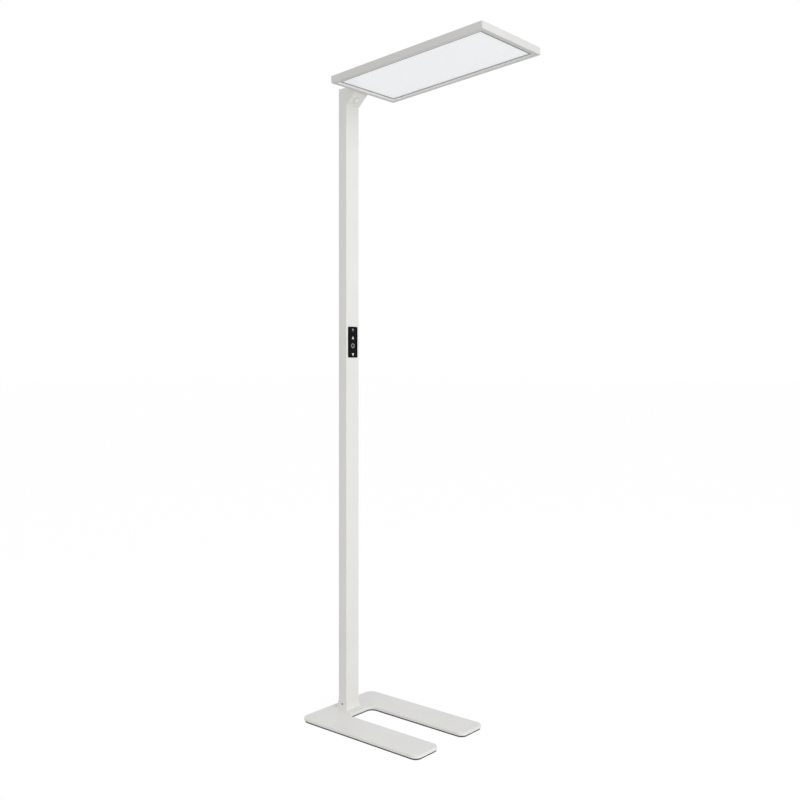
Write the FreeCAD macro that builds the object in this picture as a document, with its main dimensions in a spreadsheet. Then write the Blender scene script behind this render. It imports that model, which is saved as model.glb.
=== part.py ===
import FreeCAD, Part
import math
import os
import Sketcher
from FreeCAD import Placement, Rotation, Vector

# An office floor lamp: a U-shaped foot plate, a slim rectangular column with a key panel, and a flat
# light head that a sloped bracket carries at the top.  Millimetres, +Z up, +X from the column towards
# the open ends of the foot's prongs, origin on the floor under the column's axis.

doc = FreeCAD.newDocument("office_floor_lamp")
dims = doc.addObject("Spreadsheet::Sheet", "dims")

DRIVING_DIMENSIONS = [
    # foot
    ("plate_length", 448), ("plate_width", 311), ("plate_back", 50), ("plate_thick", 8),
    ("plate_corner", 26), ("prong_corner", 21), ("plate_edge", 1.2),
    ("slot_width", 103), ("slot_start", 48), ("slot_corner", 18),
    ("mat_thick", 5), ("mat_inset", 2.5),
    ("foot_bolt_x", 8), ("foot_bolt_y", 17), ("foot_bolt", 3), ("foot_bolt_head", 5.6), ("foot_bolt_sink", 4),
    ("spigot_tall", 52), ("spigot_floor", 14), ("spigot_wall", 5),
    ("collar_tall", 22.5), ("collar_flare", 3.7), ("collar_waist", 1.5), ("collar_rim", 0.9),
    ("set_screw_height", 29), ("set_screw", 2.5),
    # column
    ("column_depth", 33), ("column_width", 55), ("column_wall", 2), ("column_corner", 1.5),
    ("column_top", 1857), ("slide_gap", 0.2),
    ("gland_height", 85), ("gland_bore", 3.6), ("gland_thread", 6),
    # power supply on its carrier
    ("carrier_low", 105), ("carrier_tall", 315), ("carrier_thick", 1.5), ("carrier_width", 46),
    ("driver_low", 165), ("driver_tall", 235), ("driver_thick", 21), ("driver_width", 43),
    # key panel
    ("panel_height", 1135.6), ("panel_tall", 94.5), ("panel_width", 41.5), ("panel_proud", 1.5),
    ("panel_body_tall", 92), ("panel_body_width", 38), ("panel_body_deep", 10.5),
    ("key_width", 29), ("key_gap", 0.4), ("key_field_tall", 86), ("key_recess", 0.2),
    ("key_travel", 0.5), ("board_thick", 1.6), ("switch_tall", 3.4),
    # bracket
    ("bracket_top", 1909), ("bracket_step", 1.5), ("bracket_wall", 2.5), ("bracket_meet", 8),
    ("cap_thick", 2), ("cap_plug", 1.2), ("tongue_deep", 45), ("tongue_wall", 2.5),
    ("sensor_x", 33), ("sensor_hole", 10),
    # head
    ("head_near", 60.7), ("head_height", 1890), ("head_tilt", 3.98),
    ("head_length", 544), ("head_width", 278.5), ("head_thick", 21.5), ("head_corner", 3),
    ("rail_wide", 13), ("rail_step", 4), ("rail_shelf", 23), ("shelf_thick", 1.5),
    ("rail_wall", 2), ("rail_roof", 19.7),
    ("diffuser_thick", 2), ("guide_thick", 3), ("reflector_thick", 0.5), ("cover_thick", 1.2),
    ("arm_low", 12.2), ("arm_thick", 4.5), ("arm_width", 32), ("arm_tail", 72.5), ("arm_reach", 75),
    ("wire_radius", 1.8), ("wire_side", 19.5), ("wire_x", -9), ("wire_bend", 14), ("wire_level", 15.5),
]
for row, (alias, number) in enumerate(DRIVING_DIMENSIONS, start=1):
    dims.set("A%d" % row, alias)
    dims.set("B%d" % row, str(number))
    dims.setAlias("B%d" % row, alias)
doc.recompute()

PIECES = []


def value(expression):
    """The number that an expression on the sheet gives now."""
    return float(dims.evalExpression(str(expression)))


def bind(thing, path, expression):
    thing.setExpression(path, str(expression))


def new_body(label):
    body = doc.addObject("PartDesign::Body", label)
    body.Label = label
    return body


def keep(piece):
    """Puts a finished piece on the list of those that are written out."""
    PIECES.append(piece)
    return piece


# ---- sketches -------------------------------------------------------------------------------------

def new_sketch(body, name, role, lift="0"):
    """A sketch on one of the body's own origin planes, lifted along the plane's normal."""
    sketch = body.newObject("Sketcher::SketchObject", name)
    plane = next(item for item in body.Origin.OriginFeatures if item.Role == role)
    sketch.AttachmentSupport = [(plane, "")]
    sketch.MapMode = "FlatFace"
    bind(sketch, "AttachmentOffset.Base.z", lift)
    return sketch


def hold_point(sketch, geometry, end, x, y):
    """Holds a point of the sketch at two expressions measured from its origin."""
    for kind, axis, expression in (("DistanceX", -2, x), ("DistanceY", -1, y)):
        number = value(expression)
        if abs(number) < 1e-9:
            sketch.addConstraint(Sketcher.Constraint("PointOnObject", geometry, end, axis))
            continue
        index = sketch.addConstraint(Sketcher.Constraint(kind, -1, 1, geometry, end, number))
        bind(sketch, "Constraints[%d]" % index, expression)


def join_ends(sketch, first, count):
    for step in range(count):
        following = first + (step + 1) % count
        sketch.addConstraint(Sketcher.Constraint("Coincident", first + step, 2, following, 1))


def draw_polygon(sketch, corners):
    """A closed outline through corners that are given as pairs of expressions."""
    points = [Vector(value(x), value(y), 0) for x, y in corners]
    first = sketch.GeometryCount
    for step, point in enumerate(points):
        sketch.addGeometry(Part.LineSegment(point, points[(step + 1) % len(points)]))
    join_ends(sketch, first, len(points))
    for step, (x, y) in enumerate(corners):
        hold_point(sketch, first + step, 1, x, y)


def draw_circle(sketch, x, y, radius):
    centre = Vector(value(x), value(y), 0)
    index = sketch.addGeometry(Part.Circle(centre, Vector(0, 0, 1), value(radius)))
    size = sketch.addConstraint(Sketcher.Constraint("Radius", index, value(radius)))
    bind(sketch, "Constraints[%d]" % size, radius)
    hold_point(sketch, index, 3, x, y)


def regular(sides, radius, x="0", y="0"):
    """The corners of a regular polygon about a point of the sketch."""
    turns = [360.0 * step / sides for step in range(sides)]
    return [("%s + (%s) * cos(%s)" % (x, radius, turn), "%s + (%s) * sin(%s)" % (y, radius, turn)) for turn in turns]


def draw_bore(sketch, x, y, radius):
    """A small fixing hole with few faces: twelve flats that a round of that radius just touches."""
    draw_polygon(sketch, regular(12, "1.0353 * (%s)" % radius, x, y))


def rectangle(low_x, high_x, low_y, high_y):
    return [(low_x, low_y), (high_x, low_y), (high_x, high_y), (low_x, high_y)]


def centred(half_x, half_y, middle_y="0"):
    return rectangle("-(%s)" % half_x, half_x,
                     "%s - (%s)" % (middle_y, half_y), "%s + %s" % (middle_y, half_y))


# ---- features -------------------------------------------------------------------------------------

def checked(body, feature, before, grows):
    """Recomputes and makes sure that a feature added or took away material."""
    doc.recompute()
    change = body.Shape.Volume - before
    if (change > 0) != grows or abs(change) < 1e-6:
        raise RuntimeError("%s of %s changed the volume by %.3f" % (feature.Name, body.Label, change))
    return feature


def volume_of(body):
    shape = body.Shape
    return 0.0 if shape.isNull() else shape.Volume


def pad(body, sketch, length, reverse=False, both=False):
    before = volume_of(body)
    feature = body.newObject("PartDesign::Pad", sketch.Name + "_pad")
    feature.Profile = sketch
    bind(feature, "Length", length)
    feature.Reversed = reverse
    feature.Midplane = both
    return checked(body, feature, before, True)


def pocket(body, sketch, depth=None, reverse=False, both=False):
    """Cuts against the sketch's normal, or along it when reversed.  No depth means right through."""
    before = volume_of(body)
    feature = body.newObject("PartDesign::Pocket", sketch.Name + "_cut")
    feature.Profile = sketch
    if depth is None:
        feature.Type = "ThroughAll"
    else:
        bind(feature, "Length", depth)
    feature.Reversed = reverse
    feature.Midplane = both
    return checked(body, feature, before, False)


def loft(body, sections):
    """A skin of straight facets through the sections in turn."""
    before = volume_of(body)
    feature = body.newObject("PartDesign::AdditiveLoft", sections[0].Name + "_loft")
    feature.Profile = sections[0]
    feature.Sections = sections[1:]
    feature.Ruled = True
    return checked(body, feature, before, True)


def revolve(body, sketch, axis="V_Axis"):
    before = volume_of(body)
    feature = body.newObject("PartDesign::Revolution", sketch.Name + "_turned")
    feature.Profile = sketch
    feature.ReferenceAxis = (sketch, [axis])
    feature.Angle = 360
    return checked(body, feature, before, True)


def dress(body, kind, size, chosen):
    """A fillet or chamfer on the edges of the body's tip that the test chooses."""
    tip = body.Tip
    names = ["Edge%d" % (number + 1) for number, edge in enumerate(tip.Shape.Edges) if chosen(edge)]
    if not names:
        raise RuntimeError("no edge to dress on %s" % body.Label)
    feature = body.newObject("PartDesign::" + kind, "%s_%s" % (body.Name, kind.lower()))
    feature.Base = (tip, names)
    bind(feature, "Radius" if kind == "Fillet" else "Size", size)
    doc.recompute()
    return feature


def runs_along(edge, direction):
    """True for a straight edge parallel to the direction."""
    if edge.Curve.TypeId != "Part::GeomLine":
        return False
    return abs(abs(edge.tangentAt(edge.FirstParameter).dot(direction)) - 1) < 1e-6


def middle(edge):
    return edge.valueAt((edge.FirstParameter + edge.LastParameter) / 2)


def near(number, expression, reach=0.01):
    return abs(number - value(expression)) < reach


ALONG_X = Vector(1, 0, 0)
ALONG_Y = Vector(0, 1, 0)
ALONG_Z = Vector(0, 0, 1)


def block(label, low_x, high_x, low_y, high_y, low_z, high_z):
    """A plain rectangular piece between six expressions."""
    body = new_body(label)
    sketch = new_sketch(body, label + "_outline", "XY_Plane", low_z)
    draw_polygon(sketch, rectangle(low_x, high_x, low_y, high_y))
    pad(body, sketch, "(%s) - (%s)" % (high_z, low_z))
    return body


def turned(label, corners):
    """A piece turned about its own Z axis from an outline of radius and height pairs."""
    body = new_body(label)
    sketch = new_sketch(body, label + "_section", "XZ_Plane")
    draw_polygon(sketch, corners)
    revolve(body, sketch)
    return body


def screw(label, shank, head, head_tall, length):
    """A screw with few faces: a twelve-sided head below Z = 0 and an eight-sided shank along +Z."""
    body = new_body(label)
    top = new_sketch(body, label + "_head", "XY_Plane", "-(%s)" % head_tall)
    draw_polygon(top, regular(12, head))
    pad(body, top, head_tall)
    stem = new_sketch(body, label + "_shank", "XY_Plane")
    draw_polygon(stem, regular(8, "0.97 * (%s)" % shank))
    pad(body, stem, length)
    return body


def group(label, source, placements):
    """Copies of one piece as separate solids of one node."""
    node = doc.addObject("Part::Feature", label)
    node.Label = label
    copies = []
    for placement in placements:
        copy = source.Shape.copy()
        copy.Placement = placement
        copies.append(copy)
    node.Shape = Part.makeCompound(copies)
    return keep(node)


def on_head(body):
    """Moves a piece from the head's own frame to where the tilted head is."""
    body.Placement = Placement(Vector(), Rotation(Vector(0, -1, 0), value("dims.head_tilt")))
    bind(body, "Placement.Base.x", "dims.head_near")
    bind(body, "Placement.Base.z", "dims.head_height")
    bind(body, "Placement.Rotation.Angle", "dims.head_tilt")
    return body


def head_placement(x, y, z, turn=Rotation()):
    """The placement of a copy whose place is given in the head's own frame."""
    tilt = Placement(Vector(value("dims.head_near"), 0, value("dims.head_height")),
                     Rotation(Vector(0, -1, 0), value("dims.head_tilt")))
    return tilt.multiply(Placement(Vector(x, y, z), turn))


# ---- the foot -------------------------------------------------------------------------------------

COLUMN_X = "dims.column_depth / 2"
COLUMN_Y = "dims.column_width / 2"
COLUMN_IN_X = "dims.column_depth / 2 - dims.column_wall"
COLUMN_IN_Y = "dims.column_width / 2 - dims.column_wall"
FOOT_TOP = "dims.mat_thick + dims.plate_thick"
FOOT_BOLTS = [(side_x, side_y) for side_x in (-1, 1) for side_y in (-1, 1)]


def foot_outline(inset):
    """The U of the foot, open towards +X, drawn in by the inset all round."""
    back = "-dims.plate_back + %s" % inset
    front = "dims.plate_length - dims.plate_back - %s" % inset
    side = "dims.plate_width / 2 - %s" % inset
    slot = "dims.slot_width / 2 + %s" % inset
    start = "dims.slot_start - %s" % inset
    return [(back, "-(%s)" % side), (front, "-(%s)" % side), (front, "-(%s)" % slot),
            (start, "-(%s)" % slot), (start, slot), (front, slot), (front, side), (back, side)]


def round_foot_corners(body, inset):
    """Rounds the U in plan: the two back corners, the prong ends and the closed end of the slot."""
    front = value("dims.plate_length - dims.plate_back - %s" % inset)
    back = value("-dims.plate_back + %s" % inset)
    start = value("dims.slot_start - %s" % inset)
    for place, size in ((back, "dims.plate_corner - %s" % inset),
                        (front, "dims.prong_corner - %s" % inset),
                        (start, "dims.slot_corner + %s" % inset)):
        dress(body, "Fillet", size,
              lambda edge: runs_along(edge, ALONG_Z) and abs(edge.CenterOfMass.x - place) < 0.01)


def foot_holes(body, name, lift, radius):
    sketch = new_sketch(body, name, "XY_Plane", lift)
    for side_x, side_y in FOOT_BOLTS:
        draw_bore(sketch, "%d * dims.foot_bolt_x" % side_x, "%d * dims.foot_bolt_y" % side_y, radius)
    return sketch


def make_base_plate():
    body = new_body("base_plate")
    sketch = new_sketch(body, "plate_outline", "XY_Plane", "dims.mat_thick")
    draw_polygon(sketch, foot_outline("0"))
    pad(body, sketch, "dims.plate_thick")
    round_foot_corners(body, "0")
    dress(body, "Chamfer", "dims.plate_edge",
          lambda edge: near(edge.BoundBox.ZMin, FOOT_TOP) and near(edge.BoundBox.ZMax, FOOT_TOP))
    holes = foot_holes(body, "plate_holes", "dims.mat_thick", "dims.foot_bolt + 0.2")
    pocket(body, holes, None, both=True)
    sinks = foot_holes(body, "plate_counterbores", "dims.mat_thick", "dims.foot_bolt_head")
    pocket(body, sinks, "dims.foot_bolt_sink", reverse=True)
    return keep(body)


def make_base_mat():
    body = new_body("base_mat")
    sketch = new_sketch(body, "mat_outline", "XY_Plane")
    draw_polygon(sketch, foot_outline("dims.mat_inset"))
    pad(body, sketch, "dims.mat_thick")
    round_foot_corners(body, "dims.mat_inset")
    return keep(body)


def make_base_screws():
    bolt = screw("base_screw", "dims.foot_bolt", "dims.foot_bolt_head - 0.4", "3.5",
                 "dims.plate_thick - dims.foot_bolt_sink + 12")
    low = value("dims.mat_thick + dims.foot_bolt_sink")
    places = [Placement(Vector(x * value("dims.foot_bolt_x"), y * value("dims.foot_bolt_y"), low), Rotation())
              for x, y in FOOT_BOLTS]
    return group("base_screws", bolt, places)


def make_foot_spigot():
    """The block that the column slides over, bolted to the plate from below."""
    body = new_body("foot_spigot")
    half_x = "%s - dims.slide_gap" % COLUMN_IN_X
    half_y = "%s - dims.slide_gap" % COLUMN_IN_Y
    sketch = new_sketch(body, "spigot_outline", "XY_Plane", FOOT_TOP)
    draw_polygon(sketch, centred(half_x, half_y))
    pad(body, sketch, "dims.spigot_tall")
    hollow = new_sketch(body, "spigot_hollow", "XY_Plane", "%s + dims.spigot_tall" % FOOT_TOP)
    draw_polygon(hollow, centred("%s - dims.spigot_wall" % half_x, "%s - dims.spigot_wall" % half_y))
    pocket(body, hollow, "dims.spigot_tall - dims.spigot_floor")
    pocket(body, foot_holes(body, "spigot_threads", FOOT_TOP, "dims.foot_bolt"), "12.5", reverse=True)
    return keep(body)


def make_foot_collar():
    """The flared cuff round the column's foot: a ruled loft through four rectangles."""
    body = new_body("foot_collar")
    levels = [("0", "dims.collar_flare"), ("dims.collar_tall * 0.18", "dims.collar_flare * 0.64"),
              ("dims.collar_tall * 0.5", "dims.collar_waist"), ("dims.collar_tall", "dims.collar_rim")]
    sections = []
    for number, (rise, margin) in enumerate(levels):
        section = new_sketch(body, "collar_section_%d" % number, "XY_Plane", "%s + %s" % (FOOT_TOP, rise))
        draw_polygon(section, centred("%s + %s" % (COLUMN_X, margin), "%s + %s" % (COLUMN_Y, margin)))
        sections.append(section)
    loft(body, sections)
    passage = new_sketch(body, "collar_passage", "XY_Plane", FOOT_TOP)
    draw_polygon(passage, centred(COLUMN_X, COLUMN_Y))
    pocket(body, passage, None, both=True)
    screws = new_sketch(body, "collar_screw_holes", "XZ_Plane")
    draw_bore(screws, "0", "dims.set_screw_height", "dims.set_screw")
    pocket(body, screws, None, both=True)
    return keep(body)


def make_collar_screws():
    """Two headless screws that clamp the column to the spigot, one from each side."""
    grub = new_body("collar_screw")
    outline = new_sketch(grub, "collar_screw_outline", "XY_Plane")
    draw_polygon(outline, regular(12, "dims.set_screw - 0.05"))
    pad(grub, outline, "3.4")
    start = value(COLUMN_IN_Y + " - dims.slide_gap")
    height = value("dims.set_screw_height")
    places = [Placement(Vector(0, side * start, height), Rotation(ALONG_Z, Vector(0, side, 0)))
              for side in (-1, 1)]
    return group("collar_set_screws", grub, places)


# ---- the column -----------------------------------------------------------------------------------

CARRIER_SCREW_HEIGHTS = ("dims.carrier_low + 47", "dims.carrier_low + dims.carrier_tall - 9")
BRACKET_SCREW_HEIGHTS = ("dims.column_top - 15", "dims.column_top - 33")
BACK_HOLE = "2.1"


def make_column_tube():
    body = new_body("column_tube")
    low = FOOT_TOP
    outline = new_sketch(body, "tube_outline", "XY_Plane", low)
    draw_polygon(outline, centred(COLUMN_X, COLUMN_Y))
    pad(body, outline, "dims.column_top - (%s)" % low)
    dress(body, "Fillet", "dims.column_corner", lambda edge: runs_along(edge, ALONG_Z))
    hollow = new_sketch(body, "tube_hollow", "XY_Plane", low)
    draw_polygon(hollow, centred(COLUMN_IN_X, COLUMN_IN_Y))
    pocket(body, hollow, None, both=True)
    window = new_sketch(body, "panel_window", "YZ_Plane", "%s + 1" % COLUMN_X)
    draw_polygon(window, centred("dims.panel_body_width / 2 + dims.slide_gap",
                                 "dims.panel_body_tall / 2 + dims.slide_gap", "dims.panel_height"))
    pocket(body, window, "dims.column_wall + 2")
    back = new_sketch(body, "back_holes", "YZ_Plane", "-(%s) - 1" % COLUMN_X)
    draw_circle(back, "0", "dims.gland_height", "dims.gland_thread + 0.1")
    for height in CARRIER_SCREW_HEIGHTS + BRACKET_SCREW_HEIGHTS:
        draw_bore(back, "0", height, BACK_HOLE)
    pocket(body, back, "dims.column_wall + 2", reverse=True)
    sides = new_sketch(body, "set_screw_holes", "XZ_Plane")
    draw_bore(sides, "0", "dims.set_screw_height", "dims.set_screw")
    pocket(body, sides, None, both=True)
    return keep(body)


def face_backwards(body, height):
    """Turns a piece made along its own Z so that it points out of the column's back."""
    body.Placement = Placement(Vector(), Rotation(ALONG_Z, Vector(-1, 0, 0)))
    bind(body, "Placement.Base.x", "-(%s)" % COLUMN_X)
    bind(body, "Placement.Base.z", height)
    return body


def make_cable_gland():
    """The mains lead's entry: a screwed body with a hexagonal flange and a short nose."""
    body = new_body("cable_gland")
    thread = new_sketch(body, "gland_thread", "XY_Plane", "-10")
    draw_polygon(thread, regular(16, "dims.gland_thread"))
    pad(body, thread, "10")
    flange = new_sketch(body, "gland_flange", "XY_Plane")
    draw_polygon(flange, regular(6, "9"))
    pad(body, flange, "3.5")
    nose = new_sketch(body, "gland_nose", "XY_Plane", "3.5")
    draw_circle(nose, "0", "0", "dims.gland_thread + 0.6")
    pad(body, nose, "4.5")
    bore = new_sketch(body, "gland_bore", "XY_Plane")
    draw_circle(bore, "0", "0", "dims.gland_bore")
    pocket(body, bore, None, both=True)
    return keep(face_backwards(body, "dims.gland_height"))


def make_gland_nut():
    """The hexagon nut inside the column that holds the gland."""
    body = new_body("gland_nut")
    sketch = new_sketch(body, "nut_hexagon", "XY_Plane", "-dims.column_wall")
    draw_polygon(sketch, regular(6, "9.2"))
    draw_polygon(sketch, regular(16, "dims.gland_thread + 0.05"))
    pad(body, sketch, "3.5", reverse=True)
    return keep(face_backwards(body, "dims.gland_height"))


CARRIER_FACE = "-(%s) + dims.carrier_thick" % COLUMN_IN_X


def make_driver_carrier():
    """The sheet that the terminals and the power supply sit on, against the column's back wall."""
    body = block("driver_carrier", "-(%s)" % COLUMN_IN_X, CARRIER_FACE, "-dims.carrier_width / 2",
                 "dims.carrier_width / 2", "dims.carrier_low", "dims.carrier_low + dims.carrier_tall")
    holes = new_sketch(body, "carrier_holes", "YZ_Plane", "0")
    for height in CARRIER_SCREW_HEIGHTS:
        draw_bore(holes, "0", height, "2")
    pocket(body, holes, None, both=True)
    return keep(body)


def back_screws(label, heights, length):
    one = screw(label + "_one", "1.95", "3.8", "2", length)
    face = -value(COLUMN_X)
    places = [Placement(Vector(face, 0, value(height)), Rotation(ALONG_Z, ALONG_X)) for height in heights]
    return group(label, one, places)


def make_terminal_block():
    """Three-way terminals: wire entries below, clamping screws in front."""
    body = block("terminal_block", CARRIER_FACE, "4", "-18", "18", "113", "137")
    wires = new_sketch(body, "wire_entries", "XY_Plane", "113")
    screws = new_sketch(body, "clamp_wells", "YZ_Plane", "4")
    for y in ("-12", "0", "12"):
        draw_polygon(wires, rectangle("-8", "-2", "(%s) - 3" % y, "(%s) + 3" % y))
        draw_polygon(screws, rectangle("(%s) - 2.5" % y, "(%s) + 2.5" % y, "124.5", "129.5"))
    pocket(body, wires, "9", reverse=True)
    pocket(body, screws, "4")
    return keep(body)


def make_led_driver():
    """The constant-current power supply with a fixing tab at each end."""
    high_x = "%s + dims.driver_thick" % CARRIER_FACE
    top = "dims.driver_low + dims.driver_tall"
    body = block("led_driver", CARRIER_FACE, high_x, "-dims.driver_width / 2", "dims.driver_width / 2",
                 "dims.driver_low", top)
    dress(body, "Fillet", "1", lambda edge: runs_along(edge, ALONG_Z) and edge.CenterOfMass.x > 0)
    tabs = new_sketch(body, "driver_tabs", "YZ_Plane", CARRIER_FACE)
    draw_polygon(tabs, rectangle("-12", "12", "dims.driver_low - 7", "%s + 5" % top))
    pad(body, tabs, "1.2")
    return keep(body)


# ---- the key panel --------------------------------------------------------------------------------

PANEL_BACK = "%s - dims.panel_body_deep" % COLUMN_X
KEY_FRONT = "%s + dims.panel_proud - dims.key_recess" % COLUMN_X
KEY_FLANGE_FRONT = "%s - 1.55" % COLUMN_X
KEY_FLANGE_BACK = "%s - 3.3" % COLUMN_X
SWITCH_FRONT = "%s + dims.switch_tall" % PANEL_BACK
PANEL_LIP_BACK = "%s - 1.5" % COLUMN_X
# each key's lower edge above the key field's lower edge, and its height
KEYS = [("key_dimmer", 0.0, 17.8), ("key_power", 17.8, 25.2), ("key_brighter", 43.0, 24.3),
        ("key_sensor", 67.3, 18.7)]
KEY_FIELD_LOW = "dims.panel_height - dims.key_field_tall / 2"
BOARD_SCREWS = [(-1, 1), (1, -1)]


def board_screw_holes(body, name, lift, radius):
    sketch = new_sketch(body, name, "YZ_Plane", lift)
    for side_y, side_z in BOARD_SCREWS:
        draw_bore(sketch, "%d * (dims.panel_body_width / 2 - 1.7)" % side_y,
                  "dims.panel_height + %d * 35" % side_z, radius)
    return sketch


def make_control_bezel():
    """The panel's frame: a thin proud rim and a deeper body that fills the column's window."""
    body = new_body("control_bezel")
    rim = new_sketch(body, "bezel_rim", "YZ_Plane", COLUMN_X)
    draw_polygon(rim, centred("dims.panel_width / 2", "dims.panel_tall / 2", "dims.panel_height"))
    pad(body, rim, "dims.panel_proud")
    dress(body, "Fillet", "3", lambda edge: runs_along(edge, ALONG_X))
    front = "%s + dims.panel_proud" % COLUMN_X
    dress(body, "Chamfer", "0.5", lambda edge: near(edge.BoundBox.XMin, front))
    inner = new_sketch(body, "bezel_body", "YZ_Plane", COLUMN_X)
    draw_polygon(inner, centred("dims.panel_body_width / 2", "dims.panel_body_tall / 2", "dims.panel_height"))
    pad(body, inner, "dims.panel_body_deep", reverse=True)
    opening = new_sketch(body, "key_opening", "YZ_Plane", COLUMN_X)
    draw_polygon(opening, centred("dims.key_width / 2 + 0.2", "dims.key_field_tall / 2 + 0.2",
                                  "dims.panel_height"))
    pocket(body, opening, None, both=True)
    space = new_sketch(body, "flange_space", "YZ_Plane", PANEL_LIP_BACK)
    draw_polygon(space, centred("dims.key_width / 2 + 1.2", "dims.key_field_tall / 2 + 0.2",
                                "dims.panel_height"))
    pocket(body, space, None)
    pocket(body, board_screw_holes(body, "bezel_screw_holes", PANEL_BACK, "0.95"), "6", reverse=True)
    return keep(body)


def make_key(label, low, tall):
    """One push key: a cap in the opening, a flange that stops behind the lip, and a stem."""
    body = new_body(label)
    bottom = "%s + %s + dims.key_gap / 2" % (KEY_FIELD_LOW, low)
    top = "%s + %s - dims.key_gap / 2" % (KEY_FIELD_LOW, low + tall)
    half = "dims.key_width / 2"
    flange = new_sketch(body, label + "_flange", "YZ_Plane", KEY_FLANGE_BACK)
    draw_polygon(flange, rectangle("-(%s) - 0.9" % half, "%s + 0.9" % half, bottom, top))
    pad(body, flange, "(%s) - (%s)" % (KEY_FLANGE_FRONT, KEY_FLANGE_BACK))
    cap = new_sketch(body, label + "_cap", "YZ_Plane", KEY_FLANGE_FRONT)
    draw_polygon(cap, rectangle("-(%s)" % half, half, bottom, top))
    pad(body, cap, "(%s) - (%s)" % (KEY_FRONT, KEY_FLANGE_FRONT))
    dress(body, "Chamfer", "0.3", lambda edge: near(edge.BoundBox.XMin, KEY_FRONT))
    stem = new_sketch(body, label + "_stem", "YZ_Plane", KEY_FLANGE_BACK)
    draw_circle(stem, "0", "((%s) + (%s)) / 2" % (bottom, top), "2")
    pad(body, stem, "(%s) - (%s) - dims.key_travel - 0.1" % (KEY_FLANGE_BACK, SWITCH_FRONT), reverse=True)
    return keep(body)


def make_switch_board():
    """The circuit board behind the keys with one switch for each."""
    body = block("switch_board", "%s - dims.board_thick" % PANEL_BACK, PANEL_BACK,
                 "-dims.panel_body_width / 2", "dims.panel_body_width / 2",
                 "dims.panel_height - dims.panel_body_tall / 2 + 1",
                 "dims.panel_height + dims.panel_body_tall / 2 - 1")
    switches = new_sketch(body, "switches", "YZ_Plane", PANEL_BACK)
    for name, low, tall in KEYS:
        middle_z = "%s + %s" % (KEY_FIELD_LOW, low + tall / 2)
        draw_polygon(switches, rectangle("-3", "3", "%s - 3" % middle_z, "%s + 3" % middle_z))
    pad(body, switches, "dims.switch_tall")
    pocket(body, board_screw_holes(body, "board_holes", PANEL_BACK, "1.1"), None, both=True)
    return keep(body)


def make_board_screws():
    one = screw("board_screw", "0.9", "1.6", "1.2", "dims.board_thick + 5")
    face = value("%s - dims.board_thick" % PANEL_BACK)
    side = value("dims.panel_body_width / 2 - 1.7")
    places = [Placement(Vector(face, y * side, value("dims.panel_height") + z * 35), Rotation(ALONG_Z, ALONG_X))
              for y, z in BOARD_SCREWS]
    return group("board_screws", one, places)


# ---- the bracket ----------------------------------------------------------------------------------

TILT = "dims.head_tilt * 1"


def end_plane_x(level):
    """The X of the head's near end face at a level measured square to the head's underside."""
    return "dims.head_near - (%s) * sin(dims.head_tilt)" % level


def end_plane_z(level):
    return "dims.head_height + (%s) * cos(dims.head_tilt)" % level


SLOPE_LOW = ("dims.column_depth / 2", "dims.column_top + dims.bracket_step")
SLOPE_HIGH = (end_plane_x("dims.bracket_meet"), end_plane_z("dims.bracket_meet"))
TOP_LEVEL = "(dims.bracket_top - dims.head_height) / cos(dims.head_tilt)"
SLOPE_RUN = "((%s) - (%s))" % (SLOPE_HIGH[0], SLOPE_LOW[0])
SLOPE_RISE = "((%s) - (%s))" % (SLOPE_HIGH[1], SLOPE_LOW[1])
SLOPE_ANGLE = "atan(%s / %s)" % (SLOPE_RISE, SLOPE_RUN)
SENSOR_Z = "(%s) + (dims.sensor_x - (%s)) * %s / %s" % (SLOPE_LOW[1], SLOPE_LOW[0], SLOPE_RISE, SLOPE_RUN)


def make_bracket_housing():
    """A hollow neck: it stands on the column, slopes out under the head and meets its end face."""
    body = new_body("bracket_housing")
    wall = "dims.bracket_wall"
    back = "-dims.column_depth / 2"
    side = new_sketch(body, "neck_side", "XZ_Plane")
    draw_polygon(side, [(back, "dims.column_top"), (SLOPE_LOW[0], "dims.column_top"), SLOPE_LOW,
                        SLOPE_HIGH, (end_plane_x(TOP_LEVEL), "dims.bracket_top"), (back, "dims.bracket_top")])
    pad(body, side, "dims.column_width", both=True)
    slope = Vector(value(SLOPE_RUN), 0, value(SLOPE_RISE)).normalize()
    dress(body, "Fillet", "dims.column_corner",
          lambda edge: near(abs(middle(edge).y), COLUMN_Y)
          and (runs_along(edge, slope) or (runs_along(edge, ALONG_Z) and middle(edge).x < 20)))
    hollow = new_sketch(body, "neck_hollow", "XZ_Plane")
    floor = "dims.column_top + 3"
    inner_x = "%s - %s" % (end_plane_x("dims.bracket_meet"), wall)
    draw_polygon(hollow, [("%s + %s" % (back, wall), floor), ("dims.column_depth / 2 - %s" % wall, floor),
                          (inner_x, "%s + %s / 2" % (SLOPE_HIGH[1], wall)),
                          ("%s - %s" % (end_plane_x(TOP_LEVEL), wall), "dims.bracket_top + 1"),
                          ("%s + %s" % (back, wall), "dims.bracket_top + 1")])
    pocket(body, hollow, "dims.column_width - 2 * %s" % wall, both=True)
    half_x = "%s - dims.slide_gap" % COLUMN_IN_X
    half_y = "%s - dims.slide_gap" % COLUMN_IN_Y
    tongue = new_sketch(body, "neck_tongue", "XY_Plane", "dims.column_top")
    draw_polygon(tongue, centred(half_x, half_y))
    pad(body, tongue, "dims.tongue_deep", reverse=True)
    passage = new_sketch(body, "tongue_passage", "XY_Plane", floor)
    draw_polygon(passage, centred("%s - dims.tongue_wall" % half_x, "%s - dims.tongue_wall" % half_y))
    pocket(body, passage, "dims.tongue_deep + 4")
    cut_neck_openings(body, half_x)
    return keep(body)


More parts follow.
